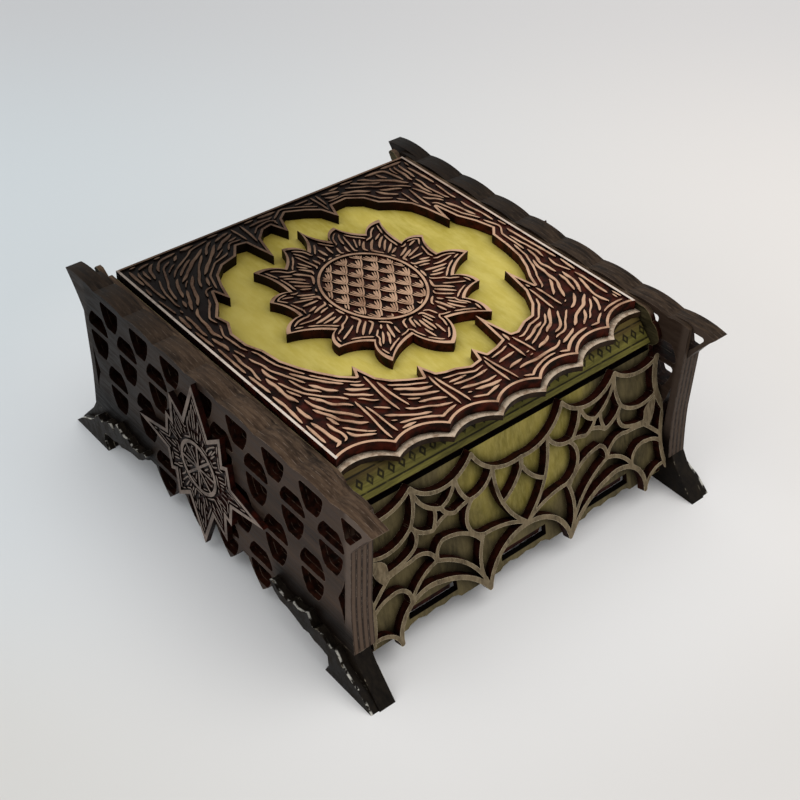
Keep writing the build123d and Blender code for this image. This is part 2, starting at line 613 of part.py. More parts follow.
def screw_body(x, z):
    head_y = BODY_BACK + LEAF_THICK
    shank = Pos(x, head_y - SCREW_DEEP / 2, z) * Rot(90, 0, 0) * Cylinder(SCREW_R, SCREW_DEEP)
    head = Pos(x, head_y + SCREW_HEAD_T / 2, z) * Rot(90, 0, 0) * Cylinder(SCREW_HEAD_R, SCREW_HEAD_T)
    return shank, head


def screw_holes(side):
    deep = SCREW_DEEP + PIN_PLAY
    y = BODY_BACK + LEAF_THICK - deep / 2
    return [Pos(at + dx, y, z) * Rot(90, 0, 0) * Cylinder(SCREW_R + PIN_PLAY, deep)
            for at in (-HINGE_AT, HINGE_AT) for dx, z in screw_spots(side)]


def screws(side):
    solids = []
    for at in (-HINGE_AT, HINGE_AT):
        for dx, z in screw_spots(side):
            shank, head = screw_body(at + dx, z)
            recess = Pos(at + dx, BODY_BACK + LEAF_THICK + SCREW_HEAD_T, z) * Box(
                2 * SCREW_HEAD_R, SCREW_HEAD_T, 0.5)
            solids.append(shank + head - recess)
    return Compound(children=solids)


def hinge_leaf(at, side):
    """Leaf with its knuckles: two outer ones on the base leaf, the middle one on the lid's."""
    third = LEAF_LONG / 3
    clear = KNUCKLE_R + KNUCKLE_GAP
    high = BASE_LEAF if side < 0 else LID_LEAF
    plate_high = high - clear
    plate = Pos(at, BODY_BACK + LEAF_THICK / 2, HINGE_Z + side * (clear + plate_high / 2)) * Box(
        LEAF_LONG, LEAF_THICK, plate_high)
    centres = (-third, third) if side < 0 else (0,)
    long = third - KNUCKLE_GAP
    leaf = plate
    for dx in centres:
        web = Pos(at + dx, BODY_BACK + LEAF_THICK / 2, HINGE_Z + side * clear / 2) * Box(
            long, LEAF_THICK, clear)
        leaf = leaf + web + along_x(KNUCKLE_R, long, at + dx, HINGE_Y, HINGE_Z)
    bore = along_x(PIN_R + PIN_PLAY, LEAF_LONG + 2, at, HINGE_Y, HINGE_Z)
    return leaf - bore - screw_holes(side)


def hinge_pin(at):
    pin = along_x(PIN_R, LEAF_LONG, at, HINGE_Y, HINGE_Z)
    heads = [along_x(PIN_HEAD, PIN_R, at + side * (LEAF_LONG + PIN_R) / 2, HINGE_Y, HINGE_Z)
             for side in (-1, 1)]
    return pin + heads


def main():
    save("floor_panel", floor_panel())
    save("front_wall", front_wall())
    save("front_inner_lip", front_lip())
    save("base_back_wall", base_back_wall())
    save("front_web_fretwork", front_fretwork())
    save_pair("side_wall", side_wall())
    save_pair("lattice_inner", lattice(False, 1))
    for i, name in enumerate(("second", "third", "outer")):
        save_pair(f"lattice_{name}", lattice(True, 2 + i))
    save_pair("star_emblem", star_emblem())
    for place, flip in (("back", False), ("front", True)):
        for name, shape in (("foot_core", foot_core()), ("foot_rock", foot_rock())):
            piece = mirror(shape, about=Plane.XZ) if flip else shape
            save_pair(f"{name}_{place}", piece)
    save("lid_board", lid_board())
    save("lid_bark_frame", lid_bark_frame())
    save("lid_crest", lid_crest())
    save("lid_front_wall", lid_front_wall())
    save("lid_back_wall", lid_back_wall())
    save_pair("lid_side_wall", lid_side_wall())
    for hand, at in (("left", -HINGE_AT), ("right", HINGE_AT)):
        save(f"hinge_base_leaf_{hand}", hinge_leaf(at, -1))
        save(f"hinge_lid_leaf_{hand}", hinge_leaf(at, 1))
        save(f"hinge_pin_{hand}", hinge_pin(at))
    save("hinge_screws_base", screws(-1))
    save("hinge_screws_lid", screws(1))


main()
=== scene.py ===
import math
import random

import bpy
import numpy as np
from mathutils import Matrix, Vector, noise
from mathutils.kdtree import KDTree


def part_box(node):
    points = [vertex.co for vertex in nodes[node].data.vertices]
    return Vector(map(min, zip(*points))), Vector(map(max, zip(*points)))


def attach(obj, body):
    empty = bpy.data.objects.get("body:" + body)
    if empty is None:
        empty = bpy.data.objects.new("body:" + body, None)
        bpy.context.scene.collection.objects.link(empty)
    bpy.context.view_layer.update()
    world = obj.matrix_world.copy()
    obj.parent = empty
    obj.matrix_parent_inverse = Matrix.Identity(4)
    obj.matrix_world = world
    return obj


# Looks of the dice box: paint, burnt edges, and the carved relief on the lid and the star emblems.
# Lengths in the drawing code and in the paints are millimetres; MM turns them into Blender's metres.

MM = 0.001
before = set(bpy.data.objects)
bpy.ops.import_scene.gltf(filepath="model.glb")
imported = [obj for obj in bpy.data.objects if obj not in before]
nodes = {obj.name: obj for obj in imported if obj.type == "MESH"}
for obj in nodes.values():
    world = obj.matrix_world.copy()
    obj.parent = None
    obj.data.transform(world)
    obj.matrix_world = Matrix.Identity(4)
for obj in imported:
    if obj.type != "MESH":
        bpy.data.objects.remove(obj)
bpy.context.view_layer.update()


def box_mm(node):
    """Lowest and highest corner of a CAD node, in millimetres."""
    low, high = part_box(node)
    return low / MM, high / MM


SHEET = box_mm("lid_board")[1].z - box_mm("lid_board")[0].z       # thickness of one plywood sheet
LID_TOP = box_mm("lid_bark_frame")[1].z      # top of the raised border lines
RELIEF = 0.8                                 # their height above the engraved ground
GROUND = LID_TOP - RELIEF
FIELD_MIDDLE = (0.0, 12.0)                   # of the painted field in the frame's opening
FIELD_RADII = (78, 76)                       # the paint reaches this far under the frame
LID_FRONT = box_mm("lid_front_wall")
LID_FRONT_MIDDLE = (LID_FRONT[0].z + LID_FRONT[1].z) / 2
LOZENGE_STEP, LOZENGE_HIGH = 5.4, 2.1        # painted border on the lid's front: spacing, half height
BORDER_LINE = 2.9                            # its two lines above and below the lozenges' middle
CASE_HALF = box_mm("side_wall_right")[0].x   # inner face of the side walls
LID_SIDE = box_mm("lid_bark_frame")[1].x     # right edge of the carved frame
ROCK_FACE = box_mm("foot_rock_front_right")[1].x     # outer face of the feet's rough plates
POST_FROM = 93.5                             # the posts' inner edges, from the middle
RAIL_FROM = 90.0                             # lowest of the rails' upward faces
STAR_GROUND = box_mm("star_emblem_right")[1].x - RELIEF


# ---------------------------------------------------------------- camera
CAMERA_AT = (-0.3173, -0.3735, 0.4424)
CAMERA_TURN = (50.274, -1.320, -39.993)      # degrees
CAMERA_LENS = 60.7                           # on a 36 mm sensor


def add_camera():
    data = bpy.data.cameras.new("camera")
    data.lens = CAMERA_LENS
    data.sensor_width = 36.0
    data.clip_start = 0.01
    camera = bpy.data.objects.new("camera", data)
    camera.location = CAMERA_AT
    camera.rotation_euler = [math.radians(a) for a in CAMERA_TURN]
    bpy.context.scene.collection.objects.link(camera)
    bpy.context.scene.camera = camera


# ---------------------------------------------------------------- materials
def srgb(red, green, blue):
    """Linear colour of an 8-bit sRGB one."""
    return tuple(((c / 255 + 0.055) / 1.055) ** 2.4 if c > 10 else c / 255 / 12.92
                 for c in (red, green, blue)) + (1.0,)


CHAR = srgb(18, 5, 2)            # burnt cut edges and engraved ground
CHAR_LIT = srgb(66, 22, 11)      # engraved ground where light reaches it
BURNT_LIT = srgb(46, 17, 9)      # the same on the sheets' cut edges
# Near-black: mixed in below as painted shade, and towards the bottom beside the lattice's feet.
NEAR_BLACK = srgb(5, 2, 1)
BEIGE = srgb(200, 162, 132)      # dry-brushed relief
BEIGE_LOW = srgb(108, 70, 47)
DARK_PLY = (srgb(24, 14, 10), srgb(40, 25, 18), srgb(70, 50, 38))    # two tones and a lighter streak
SHEEN = 0.07                     # the paint is nearly matt


class Paint:
    """One material's node graph, with short names for what the finishes below are made of."""

    def __init__(self, name):
        self.material = bpy.data.materials.new(name)
        self.material.use_nodes = True
        self.tree = self.material.node_tree
        self.tree.nodes.clear()
        self.coordinates = self.node("ShaderNodeTexCoord")
        self.millimetres = self.scaled(self.coordinates.outputs["Object"], (1000, 1000, 1000))
        self.at = self.split(self.millimetres)
        self.facing = self.split(self.coordinates.outputs["Normal"])
        self.geometry = self.node("ShaderNodeNewGeometry")

    def node(self, kind, **settings):
        made = self.tree.nodes.new(kind)
        for key, value in settings.items():
            setattr(made, key, value)
        return made

    def put(self, socket, value):
        if isinstance(value, bpy.types.NodeSocket):
            self.tree.links.new(value, socket)
        else:
            socket.default_value = value

    def scaled(self, vector, factors):
        made = self.node("ShaderNodeVectorMath", operation="MULTIPLY")
        self.put(made.inputs[0], vector)
        self.put(made.inputs[1], factors)
        return made.outputs[0]

    def split(self, vector):
        made = self.node("ShaderNodeSeparateXYZ")
        self.put(made.inputs[0], vector)
        return made.outputs

    def math(self, operation, a, b=0.0, clamp=False):
        made = self.node("ShaderNodeMath", operation=operation, use_clamp=clamp)
        self.put(made.inputs[0], a)
        self.put(made.inputs[1], b)
        return made.outputs[0]

    def step(self, value, low, high, to_low=0.0, to_high=1.0):
        """Smooth rise of value between low and high."""
        made = self.node("ShaderNodeMapRange", interpolation_type="SMOOTHSTEP")
        for i, number in enumerate((value, low, high, to_low, to_high)):
            self.put(made.inputs[i], number)
        return made.outputs[0]

    def mix(self, share, a, b, blend="MIX"):
        made = self.node("ShaderNodeMix", data_type="RGBA", blend_type=blend)
        self.put(made.inputs[0], share)
        self.put(made.inputs[6], a)
        self.put(made.inputs[7], b)
        return made.outputs[2]

    def noise(self, size, stretch=(1, 1, 1), detail=4.0, rough=0.55, twist=0.0):
        """Cloudy value around 0.5 with features of a size in millimetres, longer along small stretch axes."""
        made = self.node("ShaderNodeTexNoise")
        self.put(made.inputs["Vector"], self.scaled(self.millimetres, stretch))
        self.put(made.inputs["Scale"], 1.0 / size)
        self.put(made.inputs["Detail"], detail)
        self.put(made.inputs["Roughness"], rough)
        self.put(made.inputs["Distortion"], twist)
        return made.outputs[0]

    def edges(self, radius, low=0.02, high=0.16):
        """1 along outer and inner edges within a radius in millimetres, 0 elsewhere."""
        bevel = self.node("ShaderNodeBevel", samples=6)
        self.put(bevel.inputs["Radius"], radius * MM)
        dot = self.node("ShaderNodeVectorMath", operation="DOT_PRODUCT")
        self.put(dot.inputs[0], bevel.outputs[0])
        self.put(dot.inputs[1], self.geometry.outputs["True Normal"])
        return self.step(self.math("SUBTRACT", 1.0, dot.outputs["Value"]), low, high)

    def openness(self, distance):
        """1 on open faces, less in corners and slots within a distance in millimetres."""
        made = self.node("ShaderNodeAmbientOcclusion", samples=6)
        self.put(made.inputs["Distance"], distance * MM)
        return made.outputs["AO"]

    def finish(self, colour, rough=0.55, height=None, depth=0.15, metallic=0.0, sheen=SHEEN):
        shader = self.node("ShaderNodeBsdfPrincipled")
        self.put(shader.inputs["Base Color"], colour)
        self.put(shader.inputs["Roughness"], rough)
        shader.inputs["Metallic"].default_value = metallic
        shader.inputs["Specular IOR Level"].default_value = sheen
        if height is not None:
            bump = self.node("ShaderNodeBump")
            bump.inputs["Distance"].default_value = depth * MM
            bump.inputs["Strength"].default_value = 1.0
            self.put(bump.inputs["Height"], height)
            self.put(shader.inputs["Normal"], bump.outputs[0])
        output = self.node("ShaderNodeOutputMaterial")
        self.put(output.inputs["Surface"], shader.outputs[0])
        return self.material


def carved_paint(name, ground, top, top_low, level, across=2, back_shade=0.84):
    """Dark engraved ground and sides, pale dry-brushed tops; level is the ground's place along an axis.
    Everything darkens by up to the given share towards the back and left, away from the light: painted shade."""
    p = Paint(name)
    place = p.math("ABSOLUTE", p.at[across])
    raised = p.step(place, level + 0.30, level + 0.58)
    outward = p.step(p.math("ABSOLUTE", p.facing[across]), 0.25, 0.7)
    share = p.math("MULTIPLY", raised, outward)
    # Rises towards the front right, where the light comes from: there it lightens the tops and the engraved
    # ground as painted light, and it sets the painted shade towards the back.
    toward_light = p.step(p.math("SUBTRACT", p.math("MULTIPLY", p.at[0], 0.4), p.at[1]), -100, 30)
    clouds = p.math("ADD", p.noise(11.0, detail=5.0), p.math("MULTIPLY", toward_light, 0.16))
    brushed = p.step(clouds, 0.38, 0.74)
    speckle = p.step(p.noise(0.9, detail=6.0, rough=0.7), 0.30, 0.60)
    tone = p.mix(brushed, top_low, top)
    tone = p.mix(p.math("MULTIPLY", speckle, 0.45), tone, top)
    worn = p.mix(p.step(p.noise(2.2, detail=5.0), 0.60, 0.75, 0.0, 0.55), tone, ground)
    dark = p.mix(p.math("MULTIPLY", p.step(p.noise(5.0), 0.35, 0.7), toward_light), ground, CHAR_LIT)
    # Painted shade in the engraved crevices.
    dark = p.mix(p.step(p.openness(1.6), 0.35, 0.95, 0.9, 0.0), dark, NEAR_BLACK)
    colour = p.mix(share, dark, worn)
    # Painted shade towards the back and left, away from the light.
    colour = p.mix(p.math("SUBTRACT", back_shade, p.math("MULTIPLY", toward_light, back_shade)), colour, NEAR_BLACK)
    # Painted highlight along the frame's outer border lines, strongest at the front.
    if across == 2:
        edge = p.step(p.math("ABSOLUTE", p.at[0]), LID_SIDE - 1.7, LID_SIDE - 1.1)
        border = p.math("MULTIPLY", edge, share)
        border = p.math("MULTIPLY", border, p.step(p.noise(4.0, detail=5.0), 0.28, 0.5, 0.25, 0.85))
        border = p.math("MULTIPLY", border, p.step(p.at[1], -40, 80, 1.0, 0.3))
        colour = p.mix(border, colour, srgb(214, 204, 192))
    return p.finish(colour, p.step(brushed, 0.0, 1.0, 0.40, 0.58), p.noise(0.7, detail=5.0), 0.06)


class Sheet(Paint):
    """Painted plywood sheet: painted faces, burnt cut edges, pale worn corners, painted shade in the creases.
    """

    def __init__(self, name, streak=(1, 0.12, 1)):
        super().__init__(name)
        self.streak = streak
        self.grain = self.step(self.noise(1.6, stretch=streak, detail=6.0, rough=0.65), 0.35, 0.7)

    def brushed(self, low, high, lit, share=0.35, size=14.0):
        """Two tones in long clouds, with fine streaks of a lighter one."""
        cloud = self.step(self.noise(size, stretch=self.streak, detail=5.0), 0.35, 0.65)
        return self.mix(self.math("MULTIPLY", self.grain, share), self.mix(cloud, low, high), lit)

    def facing_across(self, axis, low=0.75, high=0.9):
        return self.step(self.math("ABSOLUTE", self.facing[axis]), low, high)

    def burnt(self):
        return self.mix(self.step(self.noise(3.0), 0.3, 0.7), CHAR, BURNT_LIT)

    def worn(self, colour, lit, radius=0.55, low=0.30, high=0.55, corner_shade=0.55):
        """Rubbed outer edges, and painted shade in the corners."""
        rim = self.math("MULTIPLY", self.edges(radius), self.step(self.noise(3.5, detail=5.0), low, high))
        open_share = self.step(self.openness(2.5), 0.35, 0.75)
        colour = self.mix(self.math("MULTIPLY", rim, open_share), colour, lit)
        # Painted shade in the corners and creases.
        return self.mix(self.step(self.openness(4.0), 0.25, 0.8, corner_shade, 0.0), colour, NEAR_BLACK)

    def done(self, colour, low=0.5, high=0.68):
        rough = self.step(self.grain, 0, 1, low, high)
        return self.finish(colour, rough, self.noise(1.1, stretch=self.streak, detail=6.0), 0.08)


def plain_sheet(name, low, high, lit, axis, streak=(1, 0.12, 1), **wear):
    p = Sheet(name, streak)
    colour = p.mix(p.facing_across(axis), p.burnt(), p.brushed(low, high, lit))
    return p.done(p.worn(colour, lit, **wear))


def oval(p, a, b, middle, radii, soft, ragged=0.0, size=9.0):
    """1 inside an oval over two coordinates, 0 outside, with a soft and ragged border."""
    parts = []
    for value, centre, radius in zip((a, b), middle, radii):
        part = p.math("DIVIDE", p.math("SUBTRACT", value, centre), radius)
        parts.append(p.math("MULTIPLY", part, part))
    reach = p.math("ADD", *parts)
    if ragged:
        reach = p.math("ADD", reach, p.math("MULTIPLY", p.math("SUBTRACT", p.noise(size), 0.5), ragged))
    return p.step(reach, 1.0 - soft, 1.0 + soft, 1.0, 0.0)


def lid_board_paint():
    """Yellow-green field under the opening, with painted shade towards the back left and along the frame's
    walls; outside the frame the ledge is pale on top with painted shade in its crease by the frame, over
    burnt cut edges, and the underside is plain dark wood."""
    p = Sheet("green_gold", (0.5, 0.15, 1))
    field = oval(p, p.at[0], p.at[1], FIELD_MIDDLE, FIELD_RADII, 0.04)
    field = p.math("MULTIPLY", field, p.step(p.facing[2], 0.75, 0.9))
    yellow = p.brushed(srgb(168, 152, 62), srgb(200, 182, 88), srgb(222, 208, 126))
    toward_light = p.step(p.math("SUBTRACT", p.at[0], p.at[1]), -110, 10)
    # Painted shade: the yellow darkens away from the light, towards the back left.
    yellow = p.mix(p.math("MULTIPLY", p.math("SUBTRACT", 1.0, toward_light), 0.55), yellow, srgb(92, 82, 30))
    # Painted shade along the frame's walls.
    yellow = p.mix(p.step(p.openness(10.0), 0.25, 0.85, 0.55, 0.0), yellow, srgb(104, 80, 28))
    ledge = p.mix(p.step(p.noise(2.4, detail=5.0), 0.3, 0.6), srgb(150, 126, 104), srgb(206, 186, 162))
    # Painted shade in the ledge's crease by the frame.
    ledge = p.mix(p.step(p.openness(3.0), 0.58, 0.88, 0.88, 0.0), ledge, NEAR_BLACK)
    edge = p.mix(p.step(p.noise(4.0), 0.3, 0.7), srgb(24, 15, 9), srgb(46, 32, 18))
    under = p.brushed(*DARK_PLY)
    colour = p.mix(p.step(p.facing[2], -0.9, -0.75, 1.0, 0.0), edge, under)
    colour = p.mix(p.step(p.facing[2], 0.6, 0.8), colour, ledge)
    return p.done(p.mix(field, colour, yellow), 0.38, 0.55)


def lid_front_paint():
    """Green slope with a row of dark lozenges between two lines; a generic border, no lettering."""
    p = Sheet("lid_green", (0.12, 1, 1))
    slope = p.step(p.facing[1], -0.6, -0.45, 1.0, 0.0)
    green = p.brushed(srgb(68, 64, 27), srgb(110, 104, 46), srgb(146, 138, 70))
    brown = p.brushed(srgb(50, 40, 20), srgb(80, 66, 33), srgb(108, 94, 50))
    green = p.mix(p.step(p.at[2], LID_FRONT_MIDDLE - 2.0, LID_FRONT_MIDDLE + 2.5), green, brown)
    row = p.math("SUBTRACT", p.at[2], LID_FRONT_MIDDLE)
    turn = p.math("SUBTRACT", p.math("FRACT", p.math("DIVIDE", p.at[0], LOZENGE_STEP)), 0.5)
    reach = p.math("ADD", p.math("MULTIPLY", p.math("ABSOLUTE", turn), 2.6),
                   p.math("DIVIDE", p.math("ABSOLUTE", row), LOZENGE_HIGH))
    lozenge = p.math("MULTIPLY", p.step(reach, 0.80, 1.0, 1.0, 0.0), p.step(reach, 0.25, 0.45))
    from_line = p.math("ABSOLUTE", p.math("SUBTRACT", p.math("ABSOLUTE", row), BORDER_LINE))
    line = p.step(from_line, 0.15, 0.40, 1.0, 0.0)
    marks = p.math("MULTIPLY", p.math("MAXIMUM", lozenge, line), p.step(p.noise(4.0), 0.25, 0.5, 0.3, 0.9))
    face = p.mix(marks, green, srgb(18, 15, 8))
    colour = p.mix(slope, p.burnt(), face)
    return p.done(p.worn(colour, srgb(132, 128, 72), 0.4, 0.5, 0.7))


def front_wall_paint():
    """Olive brown, glazed yellow-green towards the upper middle, with painted shade on upward faces, and
    painted shade with a dark wash in the corners by the web.
    """
    p = Sheet("olive", (1, 1, 0.14))
    brown = p.brushed(srgb(58, 51, 33), srgb(88, 78, 52), srgb(118, 106, 74))
    glaze = p.brushed(srgb(108, 99, 41), srgb(145, 132, 63), srgb(180, 166, 100), size=9.0)
    share = oval(p, p.at[0], p.at[2], (6, 62), (40, 32), 0.6, 1.4, 14.0)
    colour = p.mix(p.math("MULTIPLY", share, 0.85), brown, glaze)
    colour = p.mix(p.facing_across(1), p.burnt(), colour)
    # Painted shade on upward faces, such as the top edge in the seam under the lid.
    colour = p.mix(p.step(p.facing[2], 0.6, 0.8), colour, NEAR_BLACK)
    # Painted shade, with a dark wash, in the corners by the web.
    colour = p.mix(p.step(p.openness(5.0), 0.35, 0.9, 0.85, 0.0), colour, NEAR_BLACK)
    return p.done(colour)


def web_paint():
    """Grey-brown strands, rubbed pale along their edges."""
    p = Sheet("web", (1, 1, 0.3))
    top = p.brushed(srgb(72, 61, 45), srgb(104, 90, 68), srgb(144, 130, 104), 0.5, 7.0)
    colour = p.mix(p.facing_across(1), p.burnt(), top)
    return p.done(p.worn(colour, srgb(190, 176, 146), 0.35, 0.30, 0.55))


def rail_top(p, colour):
    """Colour, with long brown streaks on the rails' upward faces."""
    rail = p.math("MULTIPLY", p.step(p.facing[2], 0.55, 0.8), p.step(p.at[2], RAIL_FROM - 1.0, RAIL_FROM))
    return p.mix(rail, colour, p.brushed(srgb(30, 21, 14), srgb(60, 45, 33), srgb(104, 84, 66), 0.6, 9.0))


def side_wall_paint():
    """Dark olive inside and out, with the rails' streaks on top."""
    p = Sheet("side")
    face = p.brushed(srgb(28, 24, 14), srgb(50, 44, 26), srgb(110, 100, 70))
    colour = rail_top(p, p.mix(p.facing_across(0), p.burnt(), face))
    return p.done(p.worn(colour, srgb(110, 100, 70)))


def lattice_paint():
    """Warm dark brown faces with painted shade backward and on the right, near-black beside the feet and a
    painted highlight on the posts' faces; red-brown hole walls, streaked rail tops and striped posts."""
    p = Sheet("lattice", (1, 0.1, 1))
    along = p.math("ABSOLUTE", p.at[1])
    face = p.brushed(srgb(32, 22, 17), srgb(61, 47, 38), srgb(92, 76, 64), 0.35, 16.0)
    # Painted highlight on the posts' outer faces.
    face = p.mix(p.math("MULTIPLY", p.step(along, POST_FROM, POST_FROM + 3.0), 0.5), face, srgb(110, 95, 84))
    # Near-black towards the bottom beside the feet.
    beside_foot = p.math("MULTIPLY", p.step(p.at[2], 27, 40, 1.0, 0.0), p.step(along, 42, 52))
    face = p.mix(p.math("MULTIPLY", beside_foot, 0.92), face, NEAR_BLACK)
    cut = p.mix(p.step(p.noise(3.0), 0.3, 0.7), srgb(16, 7, 4), srgb(50, 24, 15))
    outward = p.math("SUBTRACT", p.math("ABSOLUTE", p.at[0]), CASE_HALF)
    sheet = p.math("FRACT", p.math("DIVIDE", outward, SHEET))
    middle = p.step(p.math("ABSOLUTE", p.math("SUBTRACT", sheet, 0.5)), 0.15, 0.48, 1.0, 0.0)
    post = p.mix(middle, srgb(34, 25, 19), srgb(84, 68, 56))
    cut = p.mix(p.math("MULTIPLY", p.step(along, POST_FROM, POST_FROM + 2.0), p.facing_across(1)), cut, post)
    colour = p.mix(p.facing_across(0), cut, face)
    colour = p.worn(rail_top(p, colour), srgb(112, 96, 83), 0.45, 0.42, 0.62, 0.5)
    # Painted shade on the right side, away from the light.
    colour = p.mix(p.step(p.at[0], 60, 80, 0.0, 0.40), colour, NEAR_BLACK)
    # Painted shade towards the back.
    return p.done(p.mix(p.step(p.at[1], -70, 98, 0.0, 0.80), colour, NEAR_BLACK), 0.40, 0.58)


def foot_paint():
    """Black-brown broken board with a bright chipped line along the rough plate's upper edge."""
    p = Sheet("feet", (1, 0.4, 0.4))
    colour = p.brushed(srgb(9, 6, 4), srgb(21, 16, 12), srgb(42, 35, 26), 0.4, 6.0)
    colour = p.worn(colour, srgb(138, 130, 112), 0.7, 0.56, 0.66, 0.3)
    lip = p.math("MULTIPLY", p.step(p.math("ABSOLUTE", p.at[0]), ROCK_FACE - 1.3, ROCK_FACE - 0.7),
                 p.step(p.facing[2], 0.2, 0.5))
    chips = p.math("MULTIPLY", lip, p.step(p.noise(3.0, detail=5.0), 0.45, 0.58, 0.0, 0.8))
    return p.done(p.mix(chips, colour, srgb(200, 197, 186)), 0.40, 0.58)


def assign(material, *names):
    """Give CAD nodes one material."""
    for name in names:
        piece = nodes[name]
        piece.data.materials.clear()
        piece.data.materials.append(material)


def both(name):
    return [f"{name}_left", f"{name}_right"]


# ---------------------------------------------------------------- floor and light
FLOOR_HALF = 4.0                             # metres
FLOOR_WAY = (0.64, 0.77)                     # the camera's heading over the floor
# Painted light and shade: tones at the camera's left and right, and the distances over which each band
# takes over, near to far.
FLOOR_BANDS = [(((211, 211, 207), (222, 219, 215)), None),
               (((204, 212, 215), (230, 226, 221)), (-180, -40)),
               (((199, 201, 202), (216, 214, 212)), (220, 560))]


def add_floor():
    """Pale paper with painted light and shade: cooler to the left of the camera and warmer to the right, a
    little darker far away, and painted light close to the box that lifts the box's shadow."""
    mesh = bpy.data.meshes.new("floor")
    corners = [(-FLOOR_HALF, -FLOOR_HALF, 0), (FLOOR_HALF, -FLOOR_HALF, 0),
               (FLOOR_HALF, FLOOR_HALF, 0), (-FLOOR_HALF, FLOOR_HALF, 0)]
    mesh.from_pydata(corners, [], [(0, 1, 2, 3)])
    floor = bpy.data.objects.new("floor", mesh)
    bpy.context.scene.collection.objects.link(floor)
    p = Paint("floor_paper")
    across, along = FLOOR_WAY
    away = p.math("ADD", p.math("MULTIPLY", p.at[0], across), p.math("MULTIPLY", p.at[1], along))
    aside = p.math("SUBTRACT", p.math("MULTIPLY", p.at[0], along), p.math("MULTIPLY", p.at[1], across))
    rightward = p.step(aside, -300, 300)
    colour = None
    for (left, right), reach in FLOOR_BANDS:
        band = p.mix(rightward, srgb(*left), srgb(*right))
        colour = p.mix(p.step(away, *reach), colour, band) if reach else band
    far_off = p.node("ShaderNodeVectorMath", operation="LENGTH")
    p.put(far_off.inputs[0], p.millimetres)
    # Painted light close to the box, lifting its shadow on the floor.
    colour = p.mix(p.step(far_off.outputs["Value"], 110, 250, 0.46, 0.0), colour, srgb(255, 255, 255))
    mesh.materials.append(p.finish(colour, 0.7, sheen=0.2))


def add_area(name, place, size, power, colour=(1, 1, 1)):
    data = bpy.data.lights.new(name, "AREA")
    data.shape = "DISK"
    data.size = size
    data.energy = power
    data.color = colour
    lamp = bpy.data.objects.new(name, data)
    lamp.location = place
    lamp.rotation_euler = (-Vector(place)).to_track_quat("-Z", "Y").to_euler()
    bpy.context.scene.collection.objects.link(lamp)


def add_light():
    add_area("key", (0.60, -0.70, 1.55), 1.7, 10.0, (1.0, 0.985, 0.96))
    add_area("fill", (-1.1, 0.35, 1.3), 1.4, 4.0, (0.96, 0.98, 1.0))
    world = bpy.data.worlds.new("studio")
    bpy.context.scene.world = world
    world.use_nodes = True
    tree = world.node_tree
    tree.nodes.clear()
    rays = tree.nodes.new("ShaderNodeLightPath")
    seen = tree.nodes.new("ShaderNodeMath")
    seen.operation = "MAXIMUM"
    tree.links.new(rays.outputs["Is Camera Ray"], seen.inputs[0])
    tree.links.new(rays.outputs["Is Glossy Ray"], seen.inputs[1])
    either = tree.nodes.new("ShaderNodeMath")
    either.operation = "MAXIMUM"
    tree.links.new(seen.outputs[0], either.inputs[0])
    tree.links.new(rays.outputs["Is Transmission Ray"], either.inputs[1])
    light = tree.nodes.new("ShaderNodeBackground")
    light.inputs["Color"].default_value = srgb(238, 238, 240)
    light.inputs["Strength"].default_value = 0.88
    shown = tree.nodes.new("ShaderNodeBackground")
    shown.inputs["Color"].default_value = srgb(212, 212, 210)
    mix = tree.nodes.new("ShaderNodeMixShader")
    tree.links.new(either.outputs[0], mix.inputs[0])
    tree.links.new(light.outputs[0], mix.inputs[1])
    tree.links.new(shown.outputs[0], mix.inputs[2])
    output = tree.nodes.new("ShaderNodeOutputWorld")
    tree.links.new(mix.outputs[0], output.inputs[0])
    bpy.context.scene.view_settings.view_transform = "Standard"


# ---------------------------------------------------------------- carved relief
STROKE_FOOT = 0.05                           # strokes start this far inside the ground
STROKE_TOP = 0.76                            # and stand this far above it
STEP = 0.7                                   # spacing of the points along a stroke
SHARPEST = 0.25                              # cosine of the sharpest turn at one point


def ground_loops(node, across, level):
    """Closed outlines, as Nx2 arrays in millimetres, around the flat ground of a carved board.
    across is the axis that the board is flat to, and level the ground's place along it."""
    mesh = nodes[node].data
    matrix = nodes[node].matrix_world
    points = [matrix @ v.co / MM for v in mesh.vertices]
    u, v = [axis for axis in range(3) if axis != across]
    ends = {}
    for polygon in mesh.polygons:
        corners = [points[i] for i in polygon.vertices]
        if max(abs(c[across] - level) for c in corners) > 0.05:
            continue
        for a, b in zip(corners, corners[1:] + corners[:1]):
            start, end = (round(a[u], 2), round(a[v], 2)), (round(b[u], 2), round(b[v], 2))
            if start == end:
                continue
            if start in ends.get(end, ()):
                ends[end].remove(start)
            else:
                ends.setdefault(start, []).append(end)
    loops = []
    while any(ends.values()):
        here = next(k for k, v in ends.items() if v)
        loop = []
        while ends.get(here):
            loop.append(here)
            here = ends[here].pop()
        loops.append(np.array(loop))
    return loops


def sampled(loop, spacing=0.35):
    """Points at even spacing along a closed outline."""
    following = np.roll(loop, -1, axis=0)
    rows = []
    for a, b in zip(loop, following):
        count = max(1, int(np.hypot(*(b - a)) / spacing))
        rows.append(a + (b - a) * (np.arange(count) / count)[:, None])
    return np.concatenate(rows)


def swirl(point, size, seed):
    """Smooth value about 0, from about -1 to 1."""
    return noise.noise(Vector((point[0] / size, point[1] / size, seed)))


def turned(way, angle):
    c, s = math.cos(angle), math.sin(angle)
    return np.array([way[0] * c - way[1] * s, way[0] * s + way[1] * c])


